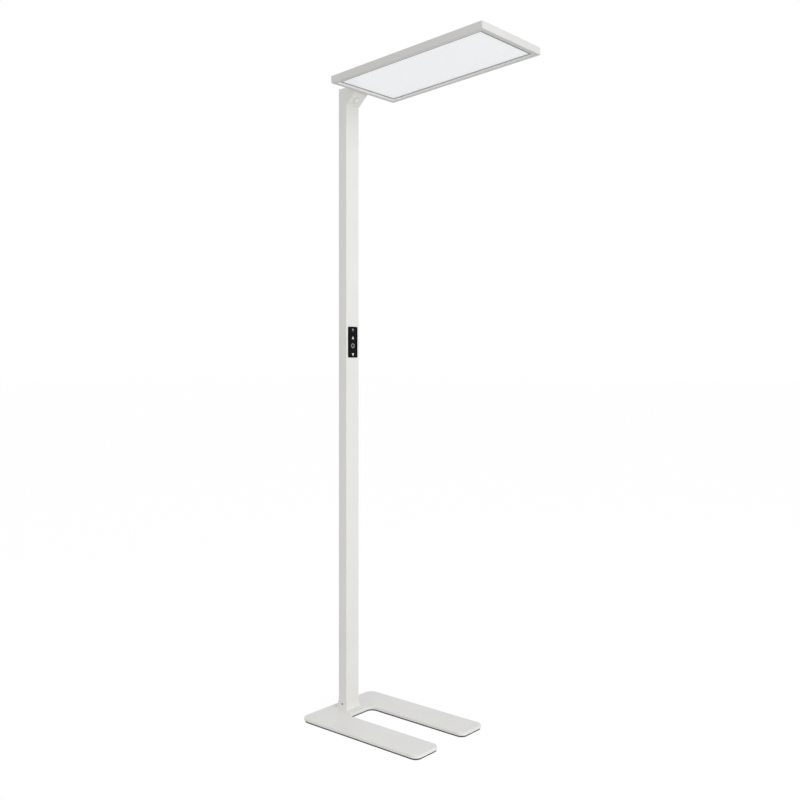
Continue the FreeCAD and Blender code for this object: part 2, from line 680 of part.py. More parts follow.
def cut_neck_openings(body, half_x):
    """The sensor's round hole, the arm's slot, the wire's hole and the fixing screws' threads."""
    sensor = new_sketch(body, "sensor_opening", "XY_Plane")
    sensor.AttachmentOffset = Placement(Vector(), Rotation(ALONG_Y, 180 - value(SLOPE_ANGLE)))
    bind(sensor, "AttachmentOffset.Base.x", "dims.sensor_x")
    bind(sensor, "AttachmentOffset.Base.z", SENSOR_Z)
    bind(sensor, "AttachmentOffset.Rotation.Angle", "180 deg - %s" % SLOPE_ANGLE)
    draw_circle(sensor, "0", "0", "dims.sensor_hole")
    pocket(body, sensor, "dims.bracket_wall * 2")
    end = new_sketch(body, "arm_slot", "YZ_Plane", "dims.head_near + 2")
    low = "%s - 0.4" % end_plane_z("dims.arm_low")
    high = "%s + 0.3" % end_plane_z("dims.arm_low + dims.arm_thick")
    draw_polygon(end, rectangle("-dims.arm_width / 2 - 0.3", "dims.arm_width / 2 + 0.3", low, high))
    pocket(body, end, "6.5")
    wire = new_sketch(body, "wire_hole", "YZ_Plane", "dims.head_near + 2")
    draw_bore(wire, "dims.wire_side", end_plane_z("dims.wire_level"), "dims.wire_radius + 0.4")
    pocket(body, wire, "6.5")
    threads = new_sketch(body, "tongue_threads", "YZ_Plane", "-(%s) - 1" % half_x)
    for height in BRACKET_SCREW_HEIGHTS:
        draw_bore(threads, "0", height, "2")
    pocket(body, threads, "dims.tongue_wall + 2", reverse=True)


def make_bracket_cap():
    """The flat lid over the hollow neck, with a shallow plug that centres it."""
    body = new_body("bracket_cap")
    back = "-dims.column_depth / 2"
    front = "%s - 0.2" % end_plane_x(TOP_LEVEL + " + dims.cap_thick")
    lid = new_sketch(body, "cap_lid", "XY_Plane", "dims.bracket_top")
    draw_polygon(lid, rectangle(back, front, "-(%s)" % COLUMN_Y, COLUMN_Y))
    pad(body, lid, "dims.cap_thick")
    dress(body, "Fillet", "dims.column_corner", lambda edge: runs_along(edge, ALONG_Z) and middle(edge).x < 0)
    top = "dims.bracket_top + dims.cap_thick"
    dress(body, "Fillet", "0.8", lambda edge: near(edge.BoundBox.ZMin, top) and middle(edge).x < value(front) - 0.1)
    plug = new_sketch(body, "cap_plug", "XY_Plane", "dims.bracket_top")
    wall = "dims.bracket_wall + dims.slide_gap"
    draw_polygon(plug, rectangle("%s + %s" % (back, wall), "%s - %s - 0.6" % (front, wall),
                                 "-(%s) + %s" % (COLUMN_Y, wall), "%s - (%s)" % (COLUMN_Y, wall)))
    pad(body, plug, "dims.cap_plug", reverse=True)
    return keep(body)


def on_slope(body):
    """Moves a piece made along its own Z so that it points square out of the sloped face."""
    body.Placement = Placement(Vector(), Rotation(ALONG_Y, 180 - value(SLOPE_ANGLE)))
    bind(body, "Placement.Base.x", "dims.sensor_x")
    bind(body, "Placement.Base.z", SENSOR_Z)
    bind(body, "Placement.Rotation.Angle", "180 deg - %s" % SLOPE_ANGLE)
    return body


def make_sensor_ring():
    body = turned("sensor_ring", [("8.9", "-6.5"), ("9.8", "-6.5"), ("9.8", "0"), ("11", "0"),
                                  ("11", "1.5"), ("8.9", "1.5")])
    return keep(on_slope(body))


def make_sensor_lens():
    """A faceted domed cap, hollow below, as such a detector looks out through."""
    foot, crown = "-2.5", "5.2"
    body = new_body("sensor_lens")
    outline = new_sketch(body, "lens_outline", "XY_Plane", foot)
    draw_polygon(outline, regular(24, "8.85"))
    pad(body, outline, "%s - (%s)" % (crown, foot))
    for size in ("3.2", "1.3"):
        dress(body, "Chamfer", size,
              lambda edge: near(edge.BoundBox.ZMin, crown) and near(edge.BoundBox.ZMax, crown))
    hollow = new_sketch(body, "lens_hollow", "XY_Plane", foot)
    draw_polygon(hollow, regular(24, "7.6"))
    pocket(body, hollow, "2.5", reverse=True)
    return keep(on_slope(body))


def make_sensor_board():
    """The small board behind the lens with the round detector on it."""
    body = block("sensor_board", "-12", "12", "-13", "13", "-8.1", "-6.5")
    can = new_sketch(body, "detector_can", "XY_Plane", "-6.5")
    draw_circle(can, "0", "0", "4.6")
    pad(body, can, "4")
    return keep(on_slope(body))


# ---- the arm between bracket and head -------------------------------------------------------------

ARM_SEAT_BOLTS = ((-40.0, 0.0), (-22.0, 0.0))
ARM_SCREWS = ((30.0, -10.0), (30.0, 10.0), (62.0, 0.0))


def make_arm_seat():
    """The cross block in the neck that the arm is bolted down on."""
    half = "dims.column_width / 2 - dims.bracket_wall"
    body = block("arm_seat", "-48", "-14", "-(%s)" % half, half, "dims.arm_low - 8", "dims.arm_low")
    threads = new_sketch(body, "seat_threads", "XY_Plane", "dims.arm_low")
    for x, y in ARM_SEAT_BOLTS:
        draw_bore(threads, x, y, "2.5")
    pocket(body, threads, "7")
    return keep(on_head(body))


def make_head_arm():
    """The flat bar that carries the head: bolted in the neck, screwed to the cover inside the head."""
    top = "dims.arm_low + dims.arm_thick"
    body = block("head_arm", "-dims.arm_tail", "dims.arm_reach", "-dims.arm_width / 2",
                 "dims.arm_width / 2", "dims.arm_low", top)
    bolts = new_sketch(body, "arm_bolt_holes", "XY_Plane", top)
    for x, y in ARM_SEAT_BOLTS:
        draw_bore(bolts, x, y, "2.7")
    pocket(body, bolts, None, both=True)
    screws = new_sketch(body, "arm_screw_threads", "XY_Plane", top)
    for x, y in ARM_SCREWS:
        draw_bore(screws, x, y, "2")
    pocket(body, screws, None, both=True)
    return keep(on_head(body))


def make_arm_bolts():
    bolt = screw("arm_bolt", "2.45", "4.6", "1.9", "10.5")
    top = value("dims.arm_low + dims.arm_thick")
    places = [head_placement(x, y, top, Rotation(ALONG_X, 180)) for x, y in ARM_SEAT_BOLTS]
    return group("arm_bolts", bolt, places)


def make_arm_pad():
    """The packing plate between the arm and the cover."""
    body = block("arm_pad", "dims.rail_wide + 3", "dims.arm_reach", "-dims.arm_width / 2",
                 "dims.arm_width / 2", "dims.arm_low + dims.arm_thick", "dims.rail_roof")
    holes = new_sketch(body, "pad_holes", "XY_Plane", "dims.rail_roof")
    for x, y in ARM_SCREWS:
        draw_bore(holes, x, y, "2.2")
    pocket(body, holes, None, both=True)
    return keep(on_head(body))


def make_arm_screws():
    one = screw("arm_screw", "1.95", "3.8", "1.8", "dims.cover_thick + dims.arm_thick + 2.6")
    top = value("dims.rail_roof + dims.cover_thick")
    places = [head_placement(x, y, top, Rotation(ALONG_X, 180)) for x, y in ARM_SCREWS]
    return group("arm_screws", one, places)


# ---- the head -------------------------------------------------------------------------------------

HEAD_X = "dims.head_length"
HEAD_Y = "dims.head_width / 2"
SHELF_TOP = "dims.rail_step + dims.shelf_thick"
GUIDE_LOW = "%s + dims.diffuser_thick" % SHELF_TOP
REFLECTOR_LOW = "%s + dims.guide_thick" % GUIDE_LOW
FOAM_LOW = "%s + dims.reflector_thick" % REFLECTOR_LOW

# how far inwards and how high each corner of a rail's section lies, from the outer lower edge
RAIL_SECTION = [
    ("0", "0"), ("dims.rail_wide", "0"), ("dims.rail_wide", "dims.rail_step"),
    ("dims.rail_shelf", "dims.rail_step"), ("dims.rail_shelf", SHELF_TOP),
    ("dims.rail_wide", SHELF_TOP), ("dims.rail_wide", "dims.rail_roof"),
    ("dims.rail_wall", "dims.rail_roof"), ("dims.rail_wall", "dims.head_thick"), ("0", "dims.head_thick"),
]
RAIL_CHAMBER = rectangle("dims.rail_wall", "dims.rail_wide - dims.rail_wall",
                         "dims.rail_wall", "dims.rail_roof - 1.7")


def head_corner(side_x, side_y, inward_x, inward_y):
    """A point near a corner of the head's outline, measured inwards from that corner."""
    x = inward_x if side_x < 0 else "%s - (%s)" % (HEAD_X, inward_x)
    y = "-(%s) + (%s)" % (HEAD_Y, inward_y) if side_y < 0 else "%s - (%s)" % (HEAD_Y, inward_y)
    return x, y


def cut_mitre(body, side_x, side_y, along_y):
    """Takes one end of a rail off at 45 degrees, through the corner of the head."""
    reach = "dims.rail_shelf + 2"
    third = (reach, "0") if along_y else ("0", reach)
    triangle = [head_corner(side_x, side_y, "-1", "-1"), head_corner(side_x, side_y, reach, reach),
                head_corner(side_x, side_y, *(("%s" % third[0], "-1") if along_y else ("-1", third[1])))]
    sketch = new_sketch(body, "mitre_%s" % body.Name, "XY_Plane")
    draw_polygon(sketch, triangle)
    pocket(body, sketch, None, both=True)


def round_corner(body, side_x, side_y):
    """Rounds the head's vertical corner off a mitred rail end."""
    sketch = new_sketch(body, "corner_%s" % body.Name, "XY_Plane")
    size = "dims.head_corner"
    corner = head_corner(side_x, side_y, "0", "0")
    on_end = head_corner(side_x, side_y, "0", size)
    on_side = head_corner(side_x, side_y, size, "0")
    bulge = "%s * (1 - cos(45))" % size
    halfway = head_corner(side_x, side_y, bulge, bulge)
    first, start, end, mid = [Vector(value(x), value(y), 0) for x, y in (corner, on_end, on_side, halfway)]
    sketch.addGeometry(Part.LineSegment(first, start))
    sketch.addGeometry(Part.Arc(start, mid, end))
    sketch.addGeometry(Part.LineSegment(end, first))
    hold_point(sketch, 0, 1, *corner)
    hold_point(sketch, 0, 2, *on_end)
    hold_point(sketch, 2, 1, *on_side)
    pocket(body, sketch, None, both=True)


COVER_SCREWS = [(x, y) for x in (0.06, 0.5, 0.94) for y in (-1, 1)]


def cover_screw_places():
    """Where the cover is screwed to the rails' roofs, in the head's own frame."""
    inset = value("dims.rail_wide") / 2 + 0.5
    long, half = value(HEAD_X), value(HEAD_Y)
    return [(part_x * long, part_y * (half - inset)) for part_x, part_y in COVER_SCREWS]


def drill_rail_roof(body):
    """Threads in a rail's roof for those of the cover's screws that lie over that rail."""
    sketch = new_sketch(body, "roof_threads_%s" % body.Name, "XY_Plane", "dims.rail_roof + 1")
    box = body.Shape.BoundBox
    for x, y in cover_screw_places():
        if box.XMin < x < box.XMax and box.YMin < y < box.YMax:
            draw_bore(sketch, x, y, "1.25")
    pocket(body, sketch, "4")


def make_rail(label, side, along_y):
    """One hollow rail of the head's frame: a stepped section, padded and mitred at both ends."""
    body = new_body(label)
    if along_y:
        place = (lambda inward: inward) if side < 0 else (lambda inward: "%s - (%s)" % (HEAD_X, inward))
        role, length, ends = "XZ_Plane", "dims.head_width", [(side, -1), (side, 1)]
    else:
        edge = "-(%s) + (%%s)" % HEAD_Y if side < 0 else "%s - (%%s)" % HEAD_Y
        place = lambda inward: edge % inward
        role, length, ends = "YZ_Plane", "dims.head_length", [(-1, side), (1, side)]
    section = new_sketch(body, label + "_section", role)
    draw_polygon(section, [(place(inward), height) for inward, height in RAIL_SECTION])
    pad(body, section, length, both=along_y)
    round_rail_edges(body, place, along_y)
    chamber = new_sketch(body, label + "_chamber", role)
    draw_polygon(chamber, [(place(inward), height) for inward, height in RAIL_CHAMBER])
    pocket(body, chamber, None, both=True)
    for side_x, side_y in ends:
        cut_mitre(body, side_x, side_y, along_y)
        round_corner(body, side_x, side_y)
    if not along_y:
        drill_rail_roof(body)
    return body


def round_rail_edges(body, place, along_y):
    """Rounds the long edges that a hand meets: outer lower, outer upper and the lip's inner one."""
    direction = ALONG_Y if along_y else ALONG_X
    for inward, height, size in (("0", "0", "2.2"), ("0", "dims.head_thick", "1.2"), ("dims.rail_wide", "0", "0.8")):
        across = value(place(inward))
        level = value(height)

        def chosen(edge):
            spot = middle(edge)
            sideways = spot.x if along_y else spot.y
            return runs_along(edge, direction) and abs(sideways - across) < 0.01 and abs(spot.z - level) < 0.01

        dress(body, "Fillet", size, chosen)


def make_rail_near():
    """The rail at the column's end, with the arm's slot and the wire's hole through both walls."""
    body = make_rail("frame_rail_near", -1, True)
    slot = new_sketch(body, "rail_arm_slot", "YZ_Plane", "dims.rail_wide + 1")
    draw_polygon(slot, rectangle("-dims.arm_width / 2 - 0.3", "dims.arm_width / 2 + 0.3",
                                 "dims.arm_low - 0.2", "dims.arm_low + dims.arm_thick + 0.2"))
    draw_bore(slot, "dims.wire_side", "dims.wire_level", "dims.wire_radius + 0.4")
    pocket(body, slot, "dims.rail_wide + 2")
    return keep(on_head(body))


def make_corner_keys():
    """The L-shaped keys in the rails' chambers that hold the mitres together."""
    key = new_body("corner_key")
    low, high, reach = "dims.rail_wall + 0.2", "dims.rail_wide - dims.rail_wall - 0.2", "42"
    sketch = new_sketch(key, "key_plan", "XY_Plane", "dims.rail_wall + 1")
    draw_polygon(sketch, [(low, low), (reach, low), (reach, high), (high, high), (high, reach), (low, reach)])
    pad(key, sketch, "dims.rail_roof - 1.7 - dims.rail_wall - 2")
    long, wide = value(HEAD_X), value("dims.head_width")
    corners = [(0, -wide / 2, 0), (long, -wide / 2, 90), (long, wide / 2, 180), (0, wide / 2, 270)]
    places = [head_placement(x, y, 0, Rotation(ALONG_Z, turn)) for x, y, turn in corners]
    return group("corner_keys", key, places)


def sheet(label, inset_x, inset_y, low, high):
    """A flat sheet of the light stack, held in from the head's outline."""
    return block(label, inset_x, "%s - (%s)" % (HEAD_X, inset_x), "-(%s) + %s" % (HEAD_Y, inset_y),
                 "%s - (%s)" % (HEAD_Y, inset_y), low, high)


def make_light_stack():
    """Diffuser, edge-lit guide and reflector, then the foam that presses them down on the shelf."""
    keep(on_head(sheet("diffuser", "dims.rail_wide + 0.6", "dims.rail_wide + 0.6", SHELF_TOP, GUIDE_LOW)))
    keep(on_head(sheet("light_guide", "dims.rail_wide + 2", "dims.rail_wide + 2.8", GUIDE_LOW, REFLECTOR_LOW)))
    keep(on_head(sheet("reflector_sheet", "dims.rail_wide + 2", "dims.rail_wide + 2.8", REFLECTOR_LOW, FOAM_LOW)))
    foam = sheet("foam_sheet", "dims.rail_wide + 2", "dims.rail_wide + 2.8", FOAM_LOW, "dims.rail_roof")
    notch = new_sketch(foam, "foam_notch", "XY_Plane", FOAM_LOW)
    draw_polygon(notch, rectangle("dims.rail_wide", "dims.arm_reach + 8", "-dims.arm_width / 2 - 4",
                                  "dims.arm_width / 2 + 12"))
    pocket(foam, notch, None, both=True)
    keep(on_head(foam))


def make_led_strip(label, side):
    """A row of diodes on a board that stands against a long rail and shines into the guide's edge."""
    body = new_body(label)
    outer = "%s - dims.rail_wide" % HEAD_Y
    first, pitch, count = 30.0, 21.0, 24
    board = new_sketch(body, label + "_board", "XY_Plane", "%s + 0.1" % GUIDE_LOW)
    bounds = ("%d * (%s - 1)" % (side, outer), "%d * (%s)" % (side, outer))
    draw_polygon(board, rectangle("22", "%s - 22" % HEAD_X, *bounds))
    pad(body, board, "6")
    diode = new_sketch(body, label + "_diode", "XZ_Plane", "%d * (%s - 1)" % (-side, outer))
    draw_polygon(diode, rectangle(first, first + 2.8, "%s + 0.4" % GUIDE_LOW, "%s + 2.6" % GUIDE_LOW))
    lamp = pad(body, diode, "0.8", reverse=side < 0)
    row = body.newObject("PartDesign::LinearPattern", label + "_row")
    row.Originals = [lamp]
    row.Direction = (diode, ["H_Axis"])
    row.Length = pitch * (count - 1)
    row.Occurrences = count
    body.Tip = row
    doc.recompute()
    return keep(on_head(body))


def make_back_cover():
    """The sheet that closes the head from above, laid in the rails' upstanding lips."""
    body = sheet("back_cover", "dims.rail_wall + 0.2", "dims.rail_wall + 0.2", "dims.rail_roof",
                 "dims.rail_roof + dims.cover_thick")
    holes = new_sketch(body, "cover_holes", "XY_Plane", "dims.rail_roof")
    for x, y in cover_screw_places():
        draw_bore(holes, x, y, "1.6")
    for x, y in ARM_SCREWS:
        draw_bore(holes, x, y, "2.2")
    pocket(body, holes, None, both=True)
    return keep(on_head(body))


def make_cover_screws():
    one = screw("cover_screw", "1.2", "2.6", "1.2", "3.4")
    top = value("dims.rail_roof + dims.cover_thick")
    places = [head_placement(x, y, top, Rotation(ALONG_X, 180)) for x, y in cover_screw_places()]
    return group("cover_screws", one, places)


def make_head_wire():
    """The lead from the power supply up the column and beside the arm into the head."""
    node = doc.addObject("Part::Feature", "head_wire")
    node.Label = "head_wire"
    tilt = math.radians(value("dims.head_tilt"))
    forward = Vector(math.cos(tilt), 0, math.sin(tilt))
    side, x = value("dims.wire_side"), value("dims.wire_x")
    level = Vector(value(end_plane_x("dims.wire_level")), side, value(end_plane_z("dims.wire_level")))
    start = Vector(x, side, value("dims.driver_low + dims.driver_tall"))
    turn = level + forward * ((x - level.x) / forward.x)
    trim = value("dims.wire_bend") * math.tan((math.pi / 2 - tilt) / 2)
    before = turn - Vector(0, 0, trim)
    after = turn + forward * trim
    inward = (forward - ALONG_Z).normalize()
    centre = turn + inward * (value("dims.wire_bend") / math.cos((math.pi / 2 - tilt) / 2))
    crown = centre - inward * value("dims.wire_bend")
    end = level + forward * 26
    path = Part.Wire([Part.LineSegment(start, before).toShape(), Part.Arc(before, crown, after).toShape(),
                      Part.LineSegment(after, end).toShape()])
    section = Part.Wire([Part.Circle(start, ALONG_Z, value("dims.wire_radius")).toShape()])
    node.Shape = Part.Solid(path.makePipe(Part.Face(section)))
    return keep(node)


def make_wire_joint():
    """The small connector in the head where the lead meets the diode boards' wiring."""
    low = "dims.wire_level - 3"
    body = block("wire_connector", "26", "40", "dims.wire_side - 3.4", "dims.wire_side + 7", low, "%s + 6" % low)
    return keep(on_head(body))


# ---- build ----------------------------------------------------------------------------------------

make_base_plate()
make_base_mat()
make_base_screws()
make_foot_spigot()
make_foot_collar()
make_collar_screws()
make_column_tube()
make_cable_gland()
make_gland_nut()
make_driver_carrier()
back_screws("carrier_screws", CARRIER_SCREW_HEIGHTS, "5")
make_terminal_block()
make_led_driver()
make_control_bezel()
for key_name, key_low, key_tall in KEYS:
    make_key(key_name, key_low, key_tall)
make_switch_board()
make_board_screws()
make_bracket_housing()
back_screws("bracket_screws", BRACKET_SCREW_HEIGHTS, "4.5")
make_bracket_cap()
make_sensor_ring()
make_sensor_lens()
make_sensor_board()
make_arm_seat()
make_head_arm()
make_arm_bolts()
make_arm_pad()
make_arm_screws()
make_rail_near()
keep(on_head(make_rail("frame_rail_far", 1, True)))
keep(on_head(make_rail("frame_rail_left", -1, False)))
keep(on_head(make_rail("frame_rail_right", 1, False)))
make_corner_keys()
make_light_stack()
make_led_strip("led_strip_left", -1)
make_led_strip("led_strip_right", 1)
make_back_cover()
make_cover_screws()
make_head_wire()
make_wire_joint()
doc.recompute()

for item in doc.Objects:
    if "Invalid" in item.State or "Error" in item.State:
        raise RuntimeError("%s did not recompute: %s" % (item.Label, item.State))
os.makedirs("parts", exist_ok=True)
for piece in PIECES:
    if piece.Shape.isNull() or not piece.Shape.isValid():
        raise RuntimeError("%s has no valid shape" % piece.Label)
    piece.Shape.exportStep(os.path.join("parts", piece.Label + ".step"))
    print("%-18s %10.1f mm3  %d solids" % (piece.Label, piece.Shape.Volume, len(piece.Shape.Solids)))
print("%d pieces" % len(PIECES))
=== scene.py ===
import math

import bmesh
import bpy
from mathutils import Matrix, Vector


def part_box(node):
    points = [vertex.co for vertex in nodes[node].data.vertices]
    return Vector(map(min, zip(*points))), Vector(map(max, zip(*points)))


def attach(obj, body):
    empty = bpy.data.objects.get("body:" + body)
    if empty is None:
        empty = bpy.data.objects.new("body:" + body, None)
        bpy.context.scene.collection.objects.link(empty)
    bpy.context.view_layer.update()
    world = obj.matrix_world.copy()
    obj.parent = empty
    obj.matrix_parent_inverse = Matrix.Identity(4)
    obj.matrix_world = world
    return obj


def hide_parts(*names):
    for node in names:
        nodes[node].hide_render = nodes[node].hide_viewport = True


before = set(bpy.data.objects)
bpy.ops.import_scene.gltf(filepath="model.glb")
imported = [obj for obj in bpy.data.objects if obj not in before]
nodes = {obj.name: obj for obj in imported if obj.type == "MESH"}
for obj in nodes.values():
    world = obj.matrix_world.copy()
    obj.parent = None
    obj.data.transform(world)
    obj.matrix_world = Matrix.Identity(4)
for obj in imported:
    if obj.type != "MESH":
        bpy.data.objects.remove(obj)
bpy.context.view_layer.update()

# Sizes are in metres. The lamp stands on z = 0 with its column on the origin, and its head reaches out
# along +X. The head's pieces are drawn level, with the middle of the head's near lower edge on the
# origin, and then tilted and carried to HEAD_START.
COLUMN_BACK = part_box("column_tube")[0].x
HEAD_START = Vector((0.0607, 0.0, 1.890))
HEAD_TILT = math.radians(3.98)
HEAD_LONG = 0.544
HEAD_HALF = -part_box("frame_rail_left")[0].y
HEAD_COVER_TOP = 0.0209
RAIL_WIDE = 0.013
RAIL_STEP = 0.004
# How far a cutting block reaches past what it cuts.
PAST = 0.01


# ---- workbench ------------------------------------------------------------------------------------

def put_down_everything():
    """Leaves edit mode and deselects every object."""
    if bpy.context.object and bpy.context.object.mode != "OBJECT":
        bpy.ops.object.mode_set(mode="OBJECT")
    bpy.ops.object.select_all(action="DESELECT")


def pick_up(piece):
    put_down_everything()
    piece.select_set(True)
    bpy.context.view_layer.objects.active = piece


def name_piece(name):
    piece = bpy.context.object
    piece.name = name
    piece.data.name = name
    return piece


def add_block(name, low, high):
    """A block between two corners, as a start for a piece."""
    put_down_everything()
    middle = [(a + b) / 2 for a, b in zip(low, high)]
    bpy.ops.mesh.primitive_cube_add(size=1, location=middle)
    piece = name_piece(name)
    piece.scale = [b - a for a, b in zip(low, high)]
    settle(piece)
    return piece


def add_rod(name, radius, depth, middle, sides=48):
    """An upright rod round a middle point, as a start for a piece."""
    put_down_everything()
    bpy.ops.mesh.primitive_cylinder_add(vertices=sides, radius=radius, depth=depth, location=middle)
    piece = name_piece(name)
    settle(piece)
    return piece


def settle(piece):
    """Moves the piece's place, turn and size into its mesh."""
    pick_up(piece)
    bpy.ops.object.transform_apply(location=True, rotation=True, scale=True)


def edit(piece, mode):
    """Opens the piece for editing with nothing selected, ready to choose edges or faces."""
    pick_up(piece)
    bpy.ops.object.mode_set(mode="EDIT")
    bpy.ops.mesh.select_mode(type=mode)
    bpy.ops.mesh.select_all(action="DESELECT")
    return bmesh.from_edit_mesh(piece.data)


def choose_edges(piece, test):
    """Selects the edges whose two ends pass the test, and leaves the piece open."""
    mesh = edit(piece, "EDGE")
    for edge in mesh.edges:
        edge.select = test(edge.verts[0].co, edge.verts[1].co)
    mesh.select_flush(True)
    bmesh.update_edit_mesh(piece.data)


def choose_faces(piece, test):
    """Selects the faces whose middle and normal pass the test, and leaves the piece open."""
    mesh = edit(piece, "FACE")
    for face in mesh.faces:
        face.select = test(face.calc_center_median(), face.normal)
    bmesh.update_edit_mesh(piece.data)


def close_edit():
    bpy.ops.object.mode_set(mode="OBJECT")


def round_edges(piece, test, width, steps):
    """Bevels the chosen edges to a round of that radius."""
    choose_edges(piece, test)
    bpy.ops.mesh.bevel(offset=width, segments=steps, profile=0.5, affect="EDGES")
    close_edit()


def smooth(piece, angle):
    """Shades the piece smooth, except across edges sharper than that angle in degrees."""
    pick_up(piece)
    bpy.ops.object.shade_smooth_by_angle(angle=math.radians(angle))


def soften(piece, width):
    """Breaks every sharp edge with a small round."""
    pick_up(piece)
    bevel = piece.modifiers.new("edge", "BEVEL")
    bevel.width = width
    bevel.segments = 2
    bevel.limit_method = "ANGLE"
    bevel.angle_limit = math.radians(35)
    bpy.ops.object.modifier_apply(modifier="edge")
    smooth(piece, 32)


def carve(piece, tool):
    """Takes the tool's volume out of the piece and throws the tool away."""
    pick_up(piece)
    cut = piece.modifiers.new("cut", "BOOLEAN")
    cut.operation = "DIFFERENCE"
    cut.solver = "EXACT"
    cut.object = tool
    bpy.ops.object.modifier_apply(modifier="cut")
    bpy.data.objects.remove(tool)


def head_matrix():
    """The move that takes the level head to its tilted place."""
    return Matrix.Translation(HEAD_START) @ Matrix.Rotation(-HEAD_TILT, 4, "Y")


def on_head(piece):
    """Carries a piece of the level head to where the tilted head is."""
    piece.data.transform(head_matrix())
    return piece


def finish_piece(piece, finish, body="lamp", stands_for=()):
    """Gives a piece its finish and its place on a body."""
    piece.data.materials.clear()
    piece.data.materials.append(finish)
    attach(piece, body)
    if stands_for:
        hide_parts(*stands_for)
    return piece


# ---- finishes -------------------------------------------------------------------------------------

class Finish:
    """A node material that is put together step by step."""

    def __init__(self, name, colour, roughness, metallic=0.0):
        self.material = bpy.data.materials.new(name)
        self.material.use_nodes = True
        self.tree = self.material.node_tree
        self.shader = self.tree.nodes["Principled BSDF"]
        self.shader.inputs["Base Color"].default_value = (*colour, 1)
        self.shader.inputs["Roughness"].default_value = roughness
        self.shader.inputs["Metallic"].default_value = metallic
        self.place = self.tree.nodes.new("ShaderNodeTexCoord").outputs["Object"]
        self.surface = None

    def node(self, kind, **settings):
        made = self.tree.nodes.new(kind)
        for key, setting in settings.items():
            setattr(made, key, setting)
        return made

    def join(self, source, target):
        self.tree.links.new(source, target)

    def noise(self, size, detail=3.0, stretch=(1, 1, 1)):
        """Noise whose grains are about that size in metres."""
        scale = self.node("ShaderNodeMapping")
        scale.inputs["Scale"].default_value = stretch
        grain = self.node("ShaderNodeTexNoise")
        grain.inputs["Scale"].default_value = 1 / size
        grain.inputs["Detail"].default_value = detail
        self.join(self.place, scale.inputs["Vector"])
        self.join(scale.outputs["Vector"], grain.inputs["Vector"])
        return grain.outputs["Fac"]

    def cells(self, size):
        """Rounded cells about that size in metres."""
        spots = self.node("ShaderNodeTexVoronoi")
        spots.inputs["Scale"].default_value = 1 / size
        self.join(self.place, spots.inputs["Vector"])
        return spots.outputs["Distance"]

    def spread(self, source, low, high, start=0.3, end=0.7):
        """The source's range from start to end, mapped to low and high."""
        mapped = self.node("ShaderNodeMapRange")
        mapped.inputs["From Min"].default_value = start
        mapped.inputs["From Max"].default_value = end
        mapped.inputs["To Min"].default_value = low
        mapped.inputs["To Max"].default_value = high
        self.join(source, mapped.inputs["Value"])
        return mapped.outputs["Result"]

    def tint(self, source, dark, light, start=0.3, end=0.7):
        """Colour that moves between two tones with the source."""
        mix = self.node("ShaderNodeMix", data_type="RGBA")
        mix.inputs["A"].default_value = (*dark, 1)
        mix.inputs["B"].default_value = (*light, 1)
        self.join(self.spread(source, 0, 1, start, end), mix.inputs["Factor"])
        self.join(mix.outputs["Result"], self.shader.inputs["Base Color"])

    def rough(self, source, low, high):
        """Roughness that moves between low and high with the source."""
        self.join(self.spread(source, low, high), self.shader.inputs["Roughness"])

    def relief(self, source, depth, strength=1.0):
        """Adds one layer of bump of that depth in metres over those before it."""
        bump = self.node("ShaderNodeBump")
        bump.inputs["Strength"].default_value = strength
        bump.inputs["Distance"].default_value = depth
        self.join(source, bump.inputs["Height"])
        if self.surface:
            self.join(self.surface, bump.inputs["Normal"])
        self.surface = bump.outputs["Normal"]
        self.join(self.surface, self.shader.inputs["Normal"])

    def set(self, socket, number):
        self.shader.inputs[socket].default_value = number
        return self


def dimmed(tone, share):
    return tuple(share * part for part in tone)


def powder_coat(name, light, dark):
    """Off-white stoved powder: fine orange peel, a little dust and slow changes of tone."""
    cloud, dust, peel, grain = 0.16, 0.02, 0.0022, 0.0005
    coat = Finish(name, light, roughness=0.5)
    coat.tint(coat.noise(cloud, detail=2), dark, light)
    coat.rough(coat.noise(dust, detail=4), low=0.42, high=0.54)
    coat.relief(coat.noise(peel, detail=2), depth=0.00006, strength=0.5)
    coat.relief(coat.noise(grain, detail=2), depth=0.000015, strength=0.6)
    coat.set("Specular IOR Level", 0.42)
    return coat.material


def floor_rubber():
    """The mat's dark, gritty rubber."""
    grit, pore, wear = 0.004, 0.0009, 0.003
    rubber = Finish("dark foot mat", (0.06, 0.06, 0.058), roughness=0.85)
    rubber.tint(rubber.noise(grit, detail=4), dark=(0.045, 0.045, 0.043), light=(0.085, 0.084, 0.08))
    rubber.relief(rubber.noise(pore), depth=0.0003, strength=0.9)
    rubber.rough(rubber.noise(wear), low=0.75, high=0.95)
    return rubber.material


def panel_gloss():
    """The key panel's gloss black frame, faintly smeared."""
    smear, wave = 0.006, 0.004
    gloss = Finish("gloss black panel", (0.002, 0.002, 0.0022), roughness=0.09)
    gloss.rough(gloss.noise(smear, detail=4), low=0.06, high=0.16)
    gloss.relief(gloss.noise(wave, detail=2), depth=0.00001, strength=0.3)
    gloss.set("Specular IOR Level", 0.035)
    return gloss.material


def key_black():
    """The keys' satin black, a shade lighter than the panel round them."""
    smear, touch, grain = 0.003, 0.0016, 0.0003
    light, dark = (0.0075, 0.0075, 0.0085), (0.004, 0.004, 0.0048)
    satin = Finish("satin black key", light, roughness=0.34)
    satin.tint(satin.noise(smear), dark, light)
    satin.rough(satin.noise(touch), low=0.28, high=0.42)
    satin.relief(satin.noise(grain, detail=2), depth=0.00001, strength=0.6)
    satin.set("Specular IOR Level", 0.05)
    return satin.material


def symbol_print(name, tone):
    """Printed ink, a little thinner in spots."""
    speck, sheen = 0.0006, 0.0008
    ink = Finish(name, tone, roughness=0.45)
    ink.tint(ink.noise(speck), dimmed(tone, 0.86), tone)
    ink.rough(ink.noise(sheen, detail=2), low=0.4, high=0.55)
    return ink.material


